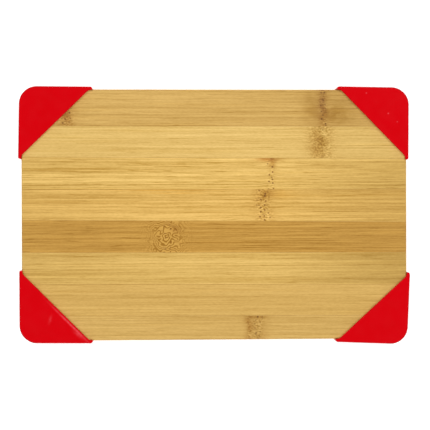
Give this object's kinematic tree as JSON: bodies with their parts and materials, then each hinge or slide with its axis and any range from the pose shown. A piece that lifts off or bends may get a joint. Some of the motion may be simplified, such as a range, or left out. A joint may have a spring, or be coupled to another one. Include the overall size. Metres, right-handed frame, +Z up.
{
  "type": "cutting board",
  "caption": "Rectangular cross-laminated bamboo cutting board with a red slip-on silicone cap on each corner, which grips the worktop and lifts the board off it.",
  "frame": {"origin": "under the centre of the board, on the surface that the corner caps stand on", "axes": "+X along the board's length and its face strips, +Y across it towards the back edge, +Z up out of the working face"},
  "size_m": [0.3042, 0.1992, 0.018],
  "materials": {
    "face_bamboo": "sanded and oiled",
    "amber_bamboo": "sanded and oiled",
    "core_bamboo": "sanded edges",
    "red_silicone": "satin moulded"
  },
  "bodies": {
    "board": {"top_strip_1": "face_bamboo", "top_strip_2": "face_bamboo", "top_strip_3": "face_bamboo", "top_strip_4": "amber_bamboo", "top_strip_5": "face_bamboo", "top_strip_6": "face_bamboo", "top_strip_7": "face_bamboo", "top_strip_8": "face_bamboo", "core_strip_1": "core_bamboo", "core_strip_2": "core_bamboo", "core_strip_3": "core_bamboo", "core_strip_4": "core_bamboo", "core_strip_5": "core_bamboo", "core_strip_6": "core_bamboo", "core_strip_7": "core_bamboo", "core_strip_8": "core_bamboo", "core_strip_9": "core_bamboo", "core_strip_10": "core_bamboo", "core_strip_11": "core_bamboo", "core_strip_12": "core_bamboo", "bottom_strip_1": "face_bamboo", "bottom_strip_2": "face_bamboo", "bottom_strip_3": "face_bamboo", "bottom_strip_4": "face_bamboo", "bottom_strip_5": "face_bamboo", "bottom_strip_6": "face_bamboo", "bottom_strip_7": "face_bamboo", "bottom_strip_8": "face_bamboo"},
    "cap_right_back": {"corner_cap_right_back": "red_silicone"},
    "cap_left_back": {"corner_cap_left_back": "red_silicone"},
    "cap_left_front": {"corner_cap_left_front": "red_silicone"},
    "cap_right_front": {"corner_cap_right_front": "red_silicone"}
  },
  "joints": [
    {"name": "cap_right_back_pull", "type": "slide", "parent": "board", "child": "cap_right_back", "axis": [0.7071, 0.7071, 0], "range_m": [0, 0.045]},
    {"name": "cap_left_back_pull", "type": "slide", "parent": "board", "child": "cap_left_back", "axis": [-0.7071, 0.7071, 0], "range_m": [0, 0.045]},
    {"name": "cap_left_front_pull", "type": "slide", "parent": "board", "child": "cap_left_front", "axis": [-0.7071, -0.7071, 0], "range_m": [0, 0.045]},
    {"name": "cap_right_front_pull", "type": "slide", "parent": "board", "child": "cap_right_front", "axis": [0.7071, -0.7071, 0], "range_m": [0, 0.045]}
  ]
}
